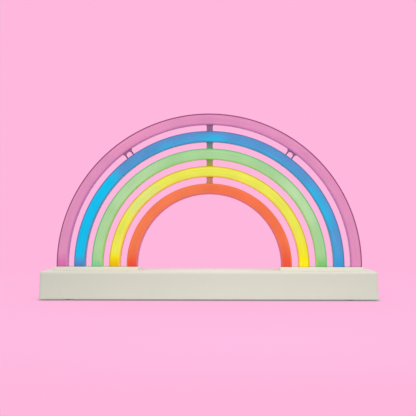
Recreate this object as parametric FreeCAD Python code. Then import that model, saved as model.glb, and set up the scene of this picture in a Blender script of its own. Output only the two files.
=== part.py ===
import FreeCAD, Part
import math
import os
from FreeCAD import Vector

# A rainbow table lamp: five lit arches, one inside the other, that stand on a long battery base.
# Sizes are in millimetres. The lamp stands on z = 0, its front faces -Y and its middle is x = 0.

# Arches, from the outermost inwards
arch_names = ("pink", "blue", "green", "yellow", "orange")
arch_outer_radius = 138.0
arch_pitch = 15.8
arch_spring = 0.5            # straight foot between a foot block and the start of the half circle
arch_end_margin = 12.0       # base that shows beyond the outermost arch, at each end
tube_width = 9.8
front_depth = 8.0
rear_depth = 4.0
diffuser_side_wall = 1.2
diffuser_front_wall = 1.4
front_edge_radius = 1.5
rear_edge_radius = 1.0
lip_height = 1.5             # rib of the rear bar that enters the diffuser
lip_clearance = 0.1
leg_below_top = 7.5          # foot of an arch below the inside of the housing's top

# Light strips and their chips
strip_thickness = 0.5
strip_clearance = 0.05
strip_side_clearance = 0.25
strip_rise = 3.0             # end of a strip above the end of its leg
chip_pitch = 25.0
chip_size = 2.8
chip_height = 0.9
chip_clearance = 0.05

# Links and hanging eyes between the arches
link_width = 5.5
link_depth = 3.2
link_flare = 0.8
link_flare_rounding = 0.5
joint_clearance = 0.05
tenon_width = 3.0
tenon_depth = 2.0
tenon_length = 1.0
tenon_clearance = 0.1
eye_angle = 35.9             # from the top of the arches, to each side
eye_lower_wall = 0.5
eye_upper_wall = 1.0
eye_leg = 1.2
eye_flare = 1.6
eye_flare_rounding = 1.5

# Retaining rods through the feet of the arches
rod_radius = 1.0
rod_clearance = 0.1
rod_below_top = 4.5
rod_overhang = 0.5
lug_length = 3.0
lug_gap = 1.5                # from the outermost and innermost foot to the lugs that hold a rod
lug_margin = 1.5             # wall of a lug around its hole

# Cells, contacts and springs
cell_count = 3
cell_diameter = 14.5
cell_length = 50.5           # with its nub
cell_gap = 0.5
cell_clearance = 0.4
nub_radius = 2.75
nub_length = 1.0
contact_thickness = 0.5
contact_width = 9.0
contact_lift = 1.0           # lower edge of a contact above the bottom cover
contact_tab_width = 3.0
contact_tab_rise = 1.2       # solder tab above the ceiling of the bay
contact_slot_clearance = 0.2
spring_length = 6.5
spring_wide_radius = 4.2
spring_narrow_radius = 3.0
spring_wire = 0.8

# Base housing, bottom cover and battery bay
foot_gap = 1.5
housing_wall = 2.2
housing_top = 2.5
draft = 0.8                  # how far each side leans in from bottom to top
corner_radius = 3.0
top_edge_radius = 2.0
bottom_edge_radius = 0.5
block_height = 3.2
block_depth = 18.0
block_margin = 1.0           # block beyond the feet that it holds
block_corner_radius = 1.0
block_edge_radius = 0.5
leg_clearance = 0.15
cover_thickness = 2.0
cover_clearance = 0.2
tub_wall = 1.6
tub_ceiling = 1.4
tub_side_gap = 0.25
lead_room = 3.1              # between the bay's ceiling and the housing's top

# Rubber feet
foot_radius = 5.0
foot_recess = 0.8
foot_inset_x = 25.0
foot_inset_y = 10.5
foot_edge_radius = 0.4

# Screws
screw_radius = 1.3
screw_length = 10.0
head_radius = 2.5
head_height = 1.6
head_recess = 1.9
head_clearance = 0.4
cross_span = 3.4
cross_width = 0.7
cross_depth = 0.7
screw_clearance = 0.05
pillar_radius = 4.0
pillar_height = 2.0
boss_radius = 3.2
boss_inset = 4.8             # screw axis from the inside of the housing's walls
middle_boss_gap = 9.4        # screw axis from the battery bay

# Battery door
door_ledge = 1.0             # overlap of the door on the walls of the bay
door_clearance = 0.3
door_seat_gap = 0.2          # between the closed door and the walls of the bay
hinge_pin_radius = 0.5
hinge_pin_length = 1.2       # pin beyond the door, at each end of its round rear edge
hinge_pin_clearance = 0.1
hinge_end_clearance = 0.2
tongue_width = 12.0
tongue_thickness = 1.2
tongue_height = 3.0
tongue_gap = 0.5
grip_length = 14.0
grip_width = 1.2
grip_depth = 0.6
grip_pitch = 2.4
grip_count = 3

# Circuit board: places on it count from its left, front and back edges
board_gap = 2.9              # from the battery bay
board_width = 25.0
board_thickness = 1.6
board_lift = 2.5             # above the bottom cover
board_wall_gap = 0.4
board_screw_length = 8.0
board_boss_radius = 2.8
board_boss_gap = 1.5         # between the front boss and the connector
board_boss_inset = 3.4       # from the board's sides and its front edge
board_boss_back = 15.2       # from the board's back edge
controller_size = 6.0
controller_height = 1.6
controller_left = 14.5
controller_back = 15.2
capacitor_radius = 2.5
capacitor_height = 8.0
capacitor_left = 8.5
capacitor_back = 12.7
resistor_length = 2.0
resistor_width = 1.2
resistor_height = 0.6
resistor_pitch = 2.4
resistor_left = 14.0
resistor_front = 2.5
connector_left = 2.5
connector_length = 4.0
connector_margin = 0.8       # connector beyond its outermost leads

# Slide switch
switch_offset = 6.0          # from the board's left edge
switch_length = 11.6
switch_depth = 5.0
switch_height = 6.0
switch_back_wall = 1.2
switch_lip = 1.6
switch_wall_gap = 0.15
slider_travel = 4.0
slider_length = 4.0
slider_height = 3.0
slider_flange = 0.6
slider_clearance = 0.15
slider_sink = 0.3            # knob below the housing's rear face
slider_groove = 0.4
slot_clearance = 0.4

# Power socket
socket_offset = 18.5         # from the board's left edge
socket_width = 9.0
socket_depth = 11.0
socket_height = 9.5
socket_bore_height = 5.0     # above the board
socket_bore_radius = 3.0
socket_bore_depth = 9.0
socket_nose_radius = 4.0
socket_nose_clearance = 0.2
socket_nose_sink = 0.2       # nose below the housing's rear face
socket_pin_radius = 1.0
socket_pin_length = 8.0

# Leads
lead_radius = 0.45
lead_step = 0.6              # each lead above the next one towards the front
lead_wall_gap = 0.1
lead_bend = 2.5
front_lead_left = 10.5       # landing of the battery leads on the board
front_lead_front = 4.5
rear_lead_left = 3.3

# A short overlap that lets joined shapes run into each other, and the least corner inside the base
overlap = 0.5
smallest_corner_radius = 0.5
tiny = 1e-4

# Heights
base_bottom = foot_gap
cover_top = base_bottom + cover_thickness
door_top = cover_top - door_seat_gap
cell_z = cover_top + cell_clearance + cell_diameter / 2
bay_ceiling = cell_z + cell_diameter / 2 + cell_clearance
tub_top = bay_ceiling + tub_ceiling
inner_top = tub_top + lead_room
base_top = inner_top + housing_top
base_height = base_top - base_bottom
block_top = base_top + block_height
arch_centre_z = block_top + arch_spring
leg_bottom = inner_top - leg_below_top
strip_bottom = leg_bottom + strip_rise
rod_z = inner_top - rod_below_top
pillar_top = cover_top + pillar_height
board_bottom = cover_top + board_lift
board_top = board_bottom + board_thickness

# Depths of the arches, along Y
tube_front = -(front_depth + rear_depth) / 2
cavity_front = tube_front + diffuser_front_wall
seam_y = tube_front + front_depth
tube_back = seam_y + rear_depth
rear_middle_y = (seam_y + tube_back) / 2
lip_front = seam_y - lip_height
strip_front = cavity_front + strip_side_clearance
strip_back = lip_front - strip_side_clearance
strip_middle_y = (strip_front + strip_back) / 2
lead_pitch = (lip_front - cavity_front - 2 * (lead_radius + lead_wall_gap)) / (len(arch_names) - 1)

# Arches and the gaps between them
arch_centre = Vector(0, 0, arch_centre_z)
arch_radii = [arch_outer_radius - arch_pitch * index for index in range(len(arch_names))]
innermost_radius = arch_radii[-1] - tube_width
gap_width = arch_pitch - tube_width
eye_hole_radius = (gap_width - 2 * joint_clearance - eye_lower_wall - eye_upper_wall) / 2

# Battery bay and base
bay_half_depth = (cell_count * cell_diameter + (cell_count - 1) * cell_gap) / 2 + cell_clearance
bay_half_length = (cell_length + spring_length) / 2 + contact_thickness
tub_half_depth = bay_half_depth + tub_wall
tub_half_length = bay_half_length + tub_wall
door_half_depth = bay_half_depth + door_ledge - door_clearance
door_half_length = bay_half_length + door_ledge - door_clearance
hinge_radius = (door_top - base_bottom) / 2
hinge_y = door_half_depth - hinge_radius
hinge_z = base_bottom + hinge_radius
base_half_depth = tub_half_depth + tub_side_gap + housing_wall + draft
base_half_length = arch_outer_radius + arch_end_margin
inner_corner_radius = max(corner_radius - housing_wall, smallest_corner_radius)


def lean(z):
    """How far the sides of the housing have leaned in at height z."""
    return draft * (z - base_bottom) / base_height


def outer_half_depth(z):
    """Rear face of the housing at height z."""
    return base_half_depth - lean(z)


def inner_half_depth(z):
    """Inside of the housing's rear wall at height z."""
    return outer_half_depth(z) - housing_wall


def inner_half_length(z):
    """Inside of the housing's end walls at height z."""
    return base_half_length - lean(z) - housing_wall


# Places that follow from the walls
boss_x = inner_half_length(cover_top) - boss_inset
boss_y = inner_half_depth(cover_top) - boss_inset
middle_boss_x = tub_half_length + middle_boss_gap
cover_screw_places = [(side * boss_x, end * boss_y) for side in (-1, 1) for end in (-1, 1)]
cover_screw_places += [(side * middle_boss_x, -boss_y) for side in (-1, 1)]
foot_places = [(side * (base_half_length - foot_inset_x), end * (base_half_depth - foot_inset_y))
               for side in (-1, 1) for end in (-1, 1)]
lead_middle_z = (leg_bottom + board_top) / 2
lead_places = [(strip_middle_y + lead_pitch * (index - len(arch_names) // 2),
                lead_middle_z + lead_step * (index - len(arch_names) // 2))
               for index in range(len(arch_names))]
connector_front = lead_places[0][0] - lead_radius - connector_margin
connector_back = lead_places[-1][0] + lead_radius + connector_margin
connector_top = lead_places[-1][1] + lead_radius + connector_margin
front_boss_y = connector_front - board_boss_gap - board_boss_radius
board_left = tub_half_length + board_gap
board_right = board_left + board_width
board_front = front_boss_y - board_boss_inset
board_back = inner_half_depth(board_top) - board_wall_gap
connector_right = board_left + connector_left + connector_length
board_screw_places = [(board_left + board_boss_inset, front_boss_y),
                      (board_left + board_boss_inset, board_back - board_boss_back),
                      (board_right - board_boss_inset, board_back - board_boss_back)]
switch_x = board_left + switch_offset
switch_z = board_top + switch_height / 2
switch_back = inner_half_depth(board_top + switch_height) - switch_wall_gap
switch_front = switch_back - switch_depth
socket_x = board_left + socket_offset
socket_z = board_top + socket_bore_height
socket_back = inner_half_depth(board_top + socket_height) - switch_wall_gap
socket_end = outer_half_depth(socket_z + socket_nose_radius) - socket_nose_sink
rod_start = innermost_radius - lug_gap - lug_length
rod_end = arch_outer_radius + lug_gap + lug_length


def box(x_from, x_to, y_from, y_to, z_from, z_to):
    """Block between two corners."""
    return Part.makeBox(x_to - x_from, y_to - y_from, z_to - z_from, Vector(x_from, y_from, z_from))


def centred_box(x, y, length, depth, z_from, z_to):
    """Upright block around a middle line."""
    return box(x - length / 2, x + length / 2, y - depth / 2, y + depth / 2, z_from, z_to)


def post(x, y, radius, z_from, z_to):
    """Upright round post."""
    return Part.makeCylinder(radius, z_to - z_from, Vector(x, y, z_from))


def bar_x(y, z, radius, x_from, x_to):
    """Round bar along X."""
    return Part.makeCylinder(radius, x_to - x_from, Vector(x_from, y, z), Vector(1, 0, 0))


def bar_y(x, z, radius, y_from, y_to):
    """Round bar along Y."""
    return Part.makeCylinder(radius, y_to - y_from, Vector(x, y_from, z), Vector(0, 1, 0))


def mirrored(shape):
    """The same shape on the other end of the lamp."""
    return shape.mirror(Vector(0, 0, 0), Vector(1, 0, 0))


def both_ends(shape):
    """A shape and its mirror image on the other end of the lamp."""
    return [shape, mirrored(shape)]


def rounded_wire(corners, closed=True):
    """Wire through (point, radius) corners. A corner with a radius gets a tangent arc."""
    turns = []
    for index, (corner, radius) in enumerate(corners):
        if radius == 0:
            turns.append((corner, None, corner))
            continue
        back = (corners[index - 1][0] - corner).normalize()
        ahead = (corners[(index + 1) % len(corners)][0] - corner).normalize()
        half_angle = back.getAngle(ahead) / 2
        reach = radius / math.tan(half_angle)
        inward = (back + ahead).normalize()
        middle = corner + inward * (radius / math.sin(half_angle) - radius)
        turns.append((corner + back * reach, middle, corner + ahead * reach))
    edges = []
    for index, (start, middle, end) in enumerate(turns):
        if middle:
            edges.append(Part.Arc(start, middle, end).toShape())
        if index == len(turns) - 1 and not closed:
            continue
        following = turns[(index + 1) % len(turns)][0]
        if end.distanceToPoint(following) > tiny:
            edges.append(Part.makeLine(end, following))
    return Part.Wire(edges)


def rounded_slab(half_length, half_depth, radius, z_from, z_to):
    """Flat slab with rounded corners, centred on the lamp's middle."""
    signs = ((-1, -1), (1, -1), (1, 1), (-1, 1))
    corners = [(Vector(a * half_length, b * half_depth, z_from), radius) for a, b in signs]
    return Part.Face(rounded_wire(corners)).extrude(Vector(0, 0, z_to - z_from))


def level_edges(shape, z):
    """Edges of a shape that lie at one height."""
    return [edge for edge in shape.Edges
            if abs(edge.BoundBox.ZMin - z) < tiny and abs(edge.BoundBox.ZMax - z) < tiny]


def upright_edges(shape):
    """Straight edges of a block that run from its bottom to its top."""
    return [edge for edge in shape.Edges if edge.BoundBox.ZLength > tiny]


# Arches

def arch_section(corners):
    """Section of an arch, drawn across its right foot from (radius, y, rounding) corners."""
    points = [(Vector(radius, y, arch_centre_z), rounding) for radius, y, rounding in corners]
    return Part.Face(rounded_wire(points))


def along_arch(section, bottom):
    """Section led over the half circle and straight down both legs."""
    over = section.revolve(arch_centre, Vector(0, -1, 0), 180)
    leg = section.extrude(Vector(0, 0, bottom - arch_centre_z))
    return over.fuse(both_ends(leg)).removeSplitter().Solids[0]


def arch_front(index):
    """Coloured diffuser: a channel with a rounded front, open at the back."""
    outer = arch_radii[index]
    inner = outer - tube_width
    inner_cavity = inner + diffuser_side_wall
    outer_cavity = outer - diffuser_side_wall
    return along_arch(arch_section((
        (outer, seam_y, 0), (outer, tube_front, front_edge_radius),
        (inner, tube_front, front_edge_radius), (inner, seam_y, 0),
        (inner_cavity, seam_y, 0), (inner_cavity, cavity_front, 0),
        (outer_cavity, cavity_front, 0), (outer_cavity, seam_y, 0))), leg_bottom)


def turned(shape, angle):
    """A shape made at the top of the arches, turned to the right around their centre."""
    placed = shape.copy()
    placed.rotate(arch_centre, Vector(0, 1, 0), angle)
    return placed


def tenon(radius_from, radius_to, clearance):
    """Block of a tenon, or of its socket, at the top of the arches."""
    return centred_box(0, rear_middle_y, tenon_width + 2 * clearance, tenon_depth + 2 * clearance,
                       arch_centre_z + radius_from, arch_centre_z + radius_to)


def gap_angles(index):
    """Places of the pieces in the gap inside an arch."""
    return (0.0, -eye_angle, eye_angle) if index == 0 else (0.0,)


def arch_rear(index):
    """Clear bar that closes a diffuser from behind and takes the tenons and the retaining rods."""
    outer = arch_radii[index]
    inner = outer - tube_width
    inner_lip = inner + diffuser_side_wall + lip_clearance
    outer_lip = outer - diffuser_side_wall - lip_clearance
    bar = along_arch(arch_section((
        (outer, seam_y, 0), (outer, tube_back, rear_edge_radius),
        (inner, tube_back, rear_edge_radius), (inner, seam_y, 0),
        (inner_lip, seam_y, 0), (inner_lip, lip_front, 0),
        (outer_lip, lip_front, 0), (outer_lip, seam_y, 0))), leg_bottom)
    reach = tenon_length + tenon_clearance
    cuts = [bar_x(rear_middle_y, rod_z, rod_radius + rod_clearance, -rod_end, rod_end)]
    if index < len(arch_names) - 1:
        socket = tenon(inner - overlap, inner + reach, tenon_clearance)
        cuts += [turned(socket, angle) for angle in gap_angles(index)]
    if index > 0:
        socket = tenon(outer - reach, outer + overlap, tenon_clearance)
        cuts += [turned(socket, angle) for angle in gap_angles(index - 1)]
    return bar.cut(cuts)


def light_strip(index):
    """Flexible strip that lies against the outer wall inside a diffuser."""
    outer = arch_radii[index] - diffuser_side_wall - strip_clearance
    inner = outer - strip_thickness
    section = arch_section(((outer, strip_front, 0), (outer, strip_back, 0),
                            (inner, strip_back, 0), (inner, strip_front, 0)))
    return along_arch(section, strip_bottom)


def light_chips(index):
    """Chips evenly spaced along the half circle of a strip."""
    face = arch_radii[index] - diffuser_side_wall - strip_clearance - strip_thickness - chip_clearance
    count = round(math.pi * face / chip_pitch)
    chip = centred_box(0, strip_middle_y, chip_size, chip_size,
                       arch_centre_z + face - chip_height, arch_centre_z + face)
    return [turned(chip, 180.0 * (place + 0.5) / count - 90.0) for place in range(count)]


# Links and hanging eyes

def gap_ends(index):
    """Radii of the lower and upper end of a piece in the gap inside an arch."""
    return (arch_radii[index + 1] + joint_clearance,
            arch_radii[index] - tube_width - joint_clearance)


def gap_piece(index, corners, y_from, y_to):
    """Plate in the gap at the top, from (x, radius, rounding) corners, with ends that follow the arches."""
    lower, upper = gap_ends(index)
    points = [(Vector(x, y_from, arch_centre_z + radius), rounding) for x, radius, rounding in corners]
    plate = Part.Face(rounded_wire(points)).extrude(Vector(0, y_to - y_from, 0))
    ring = bar_y(0, arch_centre_z, upper, y_from, y_to).cut(bar_y(0, arch_centre_z, lower, y_from, y_to))
    lower_tenon = tenon(lower - tenon_length, lower + eye_lower_wall / 2, 0)
    upper_tenon = tenon(upper - eye_upper_wall / 2, upper + tenon_length, 0)
    return plate.common(ring).fuse([lower_tenon, upper_tenon]).removeSplitter().Solids[0]


def link(index):
    """Short upright link between two arches, flared at both ends."""
    lower, upper = gap_ends(index)
    half = link_width / 2
    wide = half + link_flare
    right = ((wide, lower - overlap, 0), (wide, lower, 0), (half, lower + link_flare, link_flare_rounding),
             (half, upper - link_flare, link_flare_rounding), (wide, upper, 0), (wide, upper + overlap, 0))
    left = tuple((-x, radius, rounding) for x, radius, rounding in reversed(right))
    return gap_piece(index, right + left, rear_middle_y - link_depth / 2, rear_middle_y + link_depth / 2)


def hanging_eye():
    """Eye between the two outermost arches, made at the top: two legs around a round hole."""
    lower, upper = gap_ends(0)
    hole_radius = lower + eye_lower_wall + eye_hole_radius
    half = eye_hole_radius + eye_leg
    right = ((half, lower - overlap, 0), (half, upper - eye_flare, eye_flare_rounding),
             (half + eye_flare, upper, 0), (half + eye_flare, upper + overlap, 0))
    left = tuple((-x, radius, rounding) for x, radius, rounding in reversed(right))
    plate = gap_piece(0, right + left, seam_y, tube_back)
    hole = bar_y(0, arch_centre_z + hole_radius, eye_hole_radius, seam_y - overlap, tube_back + overlap)
    return plate.cut(hole)


# Base housing

def drafted_block(inset, bottom, top, radius):
    """Block with the housing's leaning sides, set in from its outside and rounded at its corners."""
    low_x = base_half_length - inset - lean(bottom)
    low_y = base_half_depth - inset - lean(bottom)
    high_x = base_half_length - inset - lean(top)
    high_y = base_half_depth - inset - lean(top)
    block = Part.makeWedge(-low_x, bottom, -low_y, -high_y, -high_x, low_x, top, low_y, high_y, high_x)
    block.rotate(Vector(0, 0, 0), Vector(1, 0, 0), 90)
    return block.makeFillet(radius, upright_edges(block))


def foot_block():
    """Raised block under the right feet of the arches."""
    half_length = (arch_outer_radius - innermost_radius) / 2 + block_margin
    block = rounded_slab(half_length, block_depth / 2, block_corner_radius, base_top - overlap, block_top)
    block.translate(Vector((arch_outer_radius + innermost_radius) / 2, 0, 0))
    return block.makeFillet(block_edge_radius, level_edges(block, block_top))


def leg_slots():
    """Slots for the right feet of the arches, through a foot block and the housing's top."""
    return [box(outer - tube_width - leg_clearance, outer + leg_clearance, tube_front - leg_clearance,
                tube_back + leg_clearance, inner_top - overlap, block_top + overlap)
            for outer in arch_radii]


def rod_lugs():
    """Two lugs that hold the right retaining rod below the housing's top."""
    half_depth = rod_radius + rod_clearance + lug_margin
    return [box(start, start + lug_length, rear_middle_y - half_depth, rear_middle_y + half_depth,
                rod_z - half_depth, inner_top + overlap)
            for start in (rod_start, rod_end - lug_length)]


def base_housing():
    """Hollow cream box with its foot blocks, inside bosses and lugs, open at the bottom."""
    shell = drafted_block(0, base_bottom, base_top, corner_radius)
    shell = shell.makeFillet(top_edge_radius, level_edges(shell, base_top))
    shell = shell.makeFillet(bottom_edge_radius, level_edges(shell, base_bottom))
    shell = shell.fuse(both_ends(foot_block()))
    shell = shell.cut(drafted_block(housing_wall, base_bottom - overlap, inner_top, inner_corner_radius))
    additions = [post(x, y, boss_radius, pillar_top, inner_top + overlap) for x, y in cover_screw_places]
    additions += [post(x, y, board_boss_radius, board_top, inner_top + overlap)
                  for x, y in board_screw_places]
    for lug in rod_lugs():
        additions += both_ends(lug)
    shell = shell.fuse(additions).removeSplitter()
    cuts = []
    for slot in leg_slots():
        cuts += both_ends(slot)
    cuts += both_ends(bar_x(rear_middle_y, rod_z, rod_radius + rod_clearance,
                            rod_start - overlap, rod_end + overlap))
    hole_radius = screw_radius + screw_clearance
    cuts += [post(x, y, hole_radius, pillar_top - overlap, base_bottom + head_recess + screw_length + overlap)
             for x, y in cover_screw_places]
    cuts += [post(x, y, hole_radius, board_top - overlap, board_bottom + board_screw_length + overlap)
             for x, y in board_screw_places]
    wall_from = inner_half_depth(base_top) - overlap
    wall_to = base_half_depth + overlap
    cuts.append(bar_y(socket_x, socket_z, socket_nose_radius + socket_nose_clearance, wall_from, wall_to))
    cuts.append(box(switch_x - (slider_length + slider_travel) / 2 - slot_clearance,
                    switch_x + (slider_length + slider_travel) / 2 + slot_clearance, wall_from, wall_to,
                    switch_z - slider_height / 2 - slot_clearance,
                    switch_z + slider_height / 2 + slot_clearance))
    return shell.cut(cuts).Solids[0]


def retaining_rod():
    """Steel rod through the right feet of the arches and both lugs."""
    return bar_x(rear_middle_y, rod_z, rod_radius, rod_start - rod_overhang, rod_end + rod_overhang)


def screw(x, y, seat_z, length):
    """Screw that points up, with a flat round head and a cross in it."""
    body = post(x, y, head_radius, seat_z - head_height, seat_z)
    body = body.fuse(post(x, y, screw_radius, seat_z, seat_z + length - screw_radius))
    tip = Part.makeCone(screw_radius, screw_radius / 2, screw_radius,
                        Vector(x, y, seat_z + length - screw_radius))
    cross_from = seat_z - head_height - overlap
    cross_to = seat_z - head_height + cross_depth
    cross = [centred_box(x, y, cross_span, cross_width, cross_from, cross_to),
             centred_box(x, y, cross_width, cross_span, cross_from, cross_to)]
    return body.fuse(tip).cut(cross).removeSplitter().Solids[0]


# Bottom cover and battery bay

def contact_slot(side, y):
    """Slot in the ceiling of the bay for a contact's solder tab."""
    half = contact_tab_width / 2 + contact_slot_clearance
    inner = side * (bay_half_length - contact_thickness - contact_slot_clearance)
    outer = side * bay_half_length
    return box(min(inner, outer), max(inner, outer), y - half, y + half,
               bay_ceiling - overlap, tub_top + overlap)


def bottom_cover():
    """Flat cover with the battery bay, hinge holes, screw pillars and foot recesses."""
    half_length = inner_half_length(cover_top) - cover_clearance
    half_depth = inner_half_depth(cover_top) - cover_clearance
    cover = rounded_slab(half_length, half_depth, inner_corner_radius, base_bottom, cover_top)
    tub = box(-tub_half_length, tub_half_length, -tub_half_depth, tub_half_depth,
              cover_top - overlap, tub_top)
    pillars = [post(x, y, pillar_radius, cover_top - overlap, pillar_top) for x, y in cover_screw_places]
    cover = cover.fuse([tub] + pillars)
    cuts = [box(-bay_half_length, bay_half_length, -bay_half_depth, bay_half_depth,
                base_bottom - overlap, bay_ceiling),
            box(-bay_half_length - door_ledge, bay_half_length + door_ledge,
                -bay_half_depth - door_ledge, bay_half_depth + door_ledge,
                base_bottom - overlap, cover_top)]
    hinge_reach = door_half_length + hinge_pin_length + hinge_end_clearance
    cuts.append(bar_x(hinge_y, hinge_z, hinge_pin_radius + hinge_pin_clearance, -hinge_reach, hinge_reach))
    for x, y in cover_screw_places:
        cuts.append(post(x, y, head_radius + head_clearance, base_bottom - overlap,
                         base_bottom + head_recess))
        cuts.append(post(x, y, screw_radius + screw_clearance, base_bottom, pillar_top + overlap))
    cuts += [post(x, y, foot_radius, base_bottom - overlap, base_bottom + foot_recess)
             for x, y in foot_places]
    cuts += [contact_slot(1, -cell_row(1)), contact_slot(-1, cell_row(1))]
    return cover.cut(cuts).removeSplitter().Solids[0]


def rubber_foot(x, y):
    """Round foot, glued into its recess."""
    foot = post(x, y, foot_radius, 0, foot_gap + foot_recess)
    return foot.makeFillet(foot_edge_radius, level_edges(foot, 0))


def battery_door():
    """Flush door with a round rear edge, hinge pins at its ends, a tongue at the front and finger grooves."""
    door = box(-door_half_length, door_half_length, -door_half_depth, hinge_y, base_bottom, door_top)
    rear_edge = bar_x(hinge_y, hinge_z, hinge_radius, -door_half_length, door_half_length)
    pin_end = door_half_length + hinge_pin_length
    pins = bar_x(hinge_y, hinge_z, hinge_pin_radius, -pin_end, pin_end)
    tongue_front = tongue_gap - bay_half_depth
    tongue = box(-tongue_width / 2, tongue_width / 2, tongue_front, tongue_front + tongue_thickness,
                 door_top - overlap, door_top + tongue_height)
    grooves = [centred_box(0, -door_half_depth + grip_pitch * (place + 1.0), grip_length, grip_width,
                           base_bottom - overlap, base_bottom + grip_depth) for place in range(grip_count)]
    return door.fuse([rear_edge, pins, tongue]).cut(grooves).removeSplitter().Solids[0]


def cell_row(place):
    """Y of a cell, counted from the middle one."""
    return place * (cell_diameter + cell_gap)


def cell_side(place):
    """End that a cell's nub points to: +1 right, -1 left."""
    return -1 if place == 0 else 1


def contact_face(side):
    """Inner face of the contacts at one end of the bay."""
    return side * (bay_half_length - contact_thickness)


def battery_cell(place):
    """Cell with its nub against a contact."""
    side = cell_side(place)
    tip = contact_face(side)
    shoulder = tip - side * nub_length
    tail = tip - side * cell_length
    body = bar_x(cell_row(place), cell_z, cell_diameter / 2, min(tail, shoulder), max(tail, shoulder))
    nub = bar_x(cell_row(place), cell_z, nub_radius, min(tip, shoulder), max(tip, shoulder))
    return body.fuse(nub)


def battery_spring(place):
    """Cone-shaped spring between a cell's flat end and its contact."""
    side = -cell_side(place)
    start = Vector(contact_face(side), cell_row(place), cell_z)
    inward = Vector(-side, 0, 0)
    outside = Part.makeCone(spring_wide_radius, spring_narrow_radius, spring_length, start, inward)
    inside = Part.makeCone(spring_wide_radius - spring_wire, spring_narrow_radius - spring_wire,
                           spring_length, start, inward)
    return outside.cut(inside)


def contact(side, y_from, y_to, tab):
    """Contact plate at one end of the bay, with a solder tab through the ceiling if it is a terminal."""
    face = contact_face(side)
    wall = side * bay_half_length
    x_from, x_to = min(face, wall), max(face, wall)
    plate = box(x_from, x_to, y_from - contact_width / 2, y_to + contact_width / 2,
                cover_top + contact_lift, bay_ceiling - cell_clearance)
    if tab:
        plate = plate.fuse(box(x_from, x_to, y_from - contact_tab_width / 2, y_from + contact_tab_width / 2,
                               bay_ceiling - cell_clearance - overlap, tub_top + contact_tab_rise))
    return plate.removeSplitter().Solids[0]


def battery_contacts():
    """Two terminals and two bridges that put the cells in series."""
    row = cell_row(1)
    return [contact(1, -row, -row, True), contact(-1, -row, 0, False),
            contact(1, 0, row, False), contact(-1, row, row, True)]


# Circuit board and what stands on it

def circuit_board():
    """Flat board, screwed up against three bosses of the housing."""
    board = box(board_left, board_right, board_front, board_back, board_bottom, board_top)
    return board.cut([post(x, y, screw_radius + screw_clearance, board_bottom - overlap, board_top + overlap)
                      for x, y in board_screw_places])


def board_components():
    """Controller, capacitor and one resistor for each arch."""
    controller = centred_box(board_left + controller_left, board_back - controller_back, controller_size,
                             controller_size, board_top, board_top + controller_height)
    capacitor = post(board_left + capacitor_left, board_back - capacitor_back, capacitor_radius,
                     board_top, board_top + capacitor_height)
    resistors = [centred_box(board_left + resistor_left + resistor_pitch * place,
                             board_front + resistor_front, resistor_length, resistor_width,
                             board_top, board_top + resistor_height)
                 for place in range(len(arch_names))]
    return [controller, capacitor] + resistors


def lead_connector():
    """Connector that takes the leads of the light strips side by side."""
    return box(board_left + connector_left, connector_right, connector_front, connector_back,
               board_top, connector_top)


def switch_body():
    """Switch case with a cavity for the slider's flange and a slot for its stem."""
    half = switch_length / 2
    case = box(switch_x - half, switch_x + half, switch_front, switch_back,
               board_top, board_top + switch_height)
    length = slider_length + slider_travel + 2 * slider_clearance
    height = slider_height + 2 * slider_clearance
    cavity_back = switch_back - switch_lip
    cavity = centred_box(switch_x, (switch_front + switch_back_wall + cavity_back) / 2,
                         length + 2 * slider_flange, cavity_back - switch_front - switch_back_wall,
                         switch_z - height / 2 - slider_flange, switch_z + height / 2 + slider_flange)
    slot = box(switch_x - length / 2, switch_x + length / 2, cavity_back - overlap, switch_back + overlap,
               switch_z - height / 2, switch_z + height / 2)
    return case.cut([cavity, slot])


def switch_slider():
    """Slider at the left end of its travel, with grooves in its knob."""
    x = switch_x - slider_travel / 2
    flange_front = switch_front + switch_back_wall + slider_clearance
    flange_back = switch_back - switch_lip - slider_clearance
    end = outer_half_depth(switch_z + slider_height / 2) - slider_sink
    half_length = slider_length / 2
    half_height = slider_height / 2
    flange = box(x - half_length - slider_flange, x + half_length + slider_flange, flange_front, flange_back,
                 switch_z - half_height - slider_flange, switch_z + half_height + slider_flange)
    stem = box(x - half_length, x + half_length, flange_front, end,
               switch_z - half_height, switch_z + half_height)
    grooves = [centred_box(x + place * half_length / 2, end, slider_groove, 2 * slider_groove,
                           switch_z - slider_height, switch_z + slider_height) for place in (-1, 0, 1)]
    return flange.fuse(stem).cut(grooves).removeSplitter().Solids[0]


def power_socket():
    """Socket with a round nose through the rear wall and a bore for a plug."""
    case = box(socket_x - socket_width / 2, socket_x + socket_width / 2, socket_back - socket_depth,
               socket_back, board_top, board_top + socket_height)
    nose = bar_y(socket_x, socket_z, socket_nose_radius, socket_back - overlap, socket_end)
    bore = bar_y(socket_x, socket_z, socket_bore_radius, socket_end - socket_bore_depth,
                 socket_end + overlap)
    return case.fuse(nose).cut(bore)


def power_socket_pin():
    """Contact pin in the middle of the socket's bore."""
    root = socket_end - socket_bore_depth
    return bar_y(socket_x, socket_z, socket_pin_radius, root, root + socket_pin_length)


# Leads

def lead(points):
    """Round lead along straight runs that tangent arcs join."""
    last = len(points) - 1
    corners = [(point, lead_bend if 0 < index < last else 0) for index, point in enumerate(points)]
    path = rounded_wire(corners, closed=False)
    ring = Part.Wire(Part.makeCircle(lead_radius, points[0], points[1] - points[0]))
    return path.makePipeShell([ring], True, False)


def led_lead(index):
    """Lead from the right end of a light strip down and across to the connector."""
    x = arch_radii[index] - diffuser_side_wall - lead_wall_gap - lead_radius
    y, z = lead_places[index]
    return lead((Vector(x, y, strip_bottom), Vector(x, y, z), Vector(connector_right, y, z)))


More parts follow.
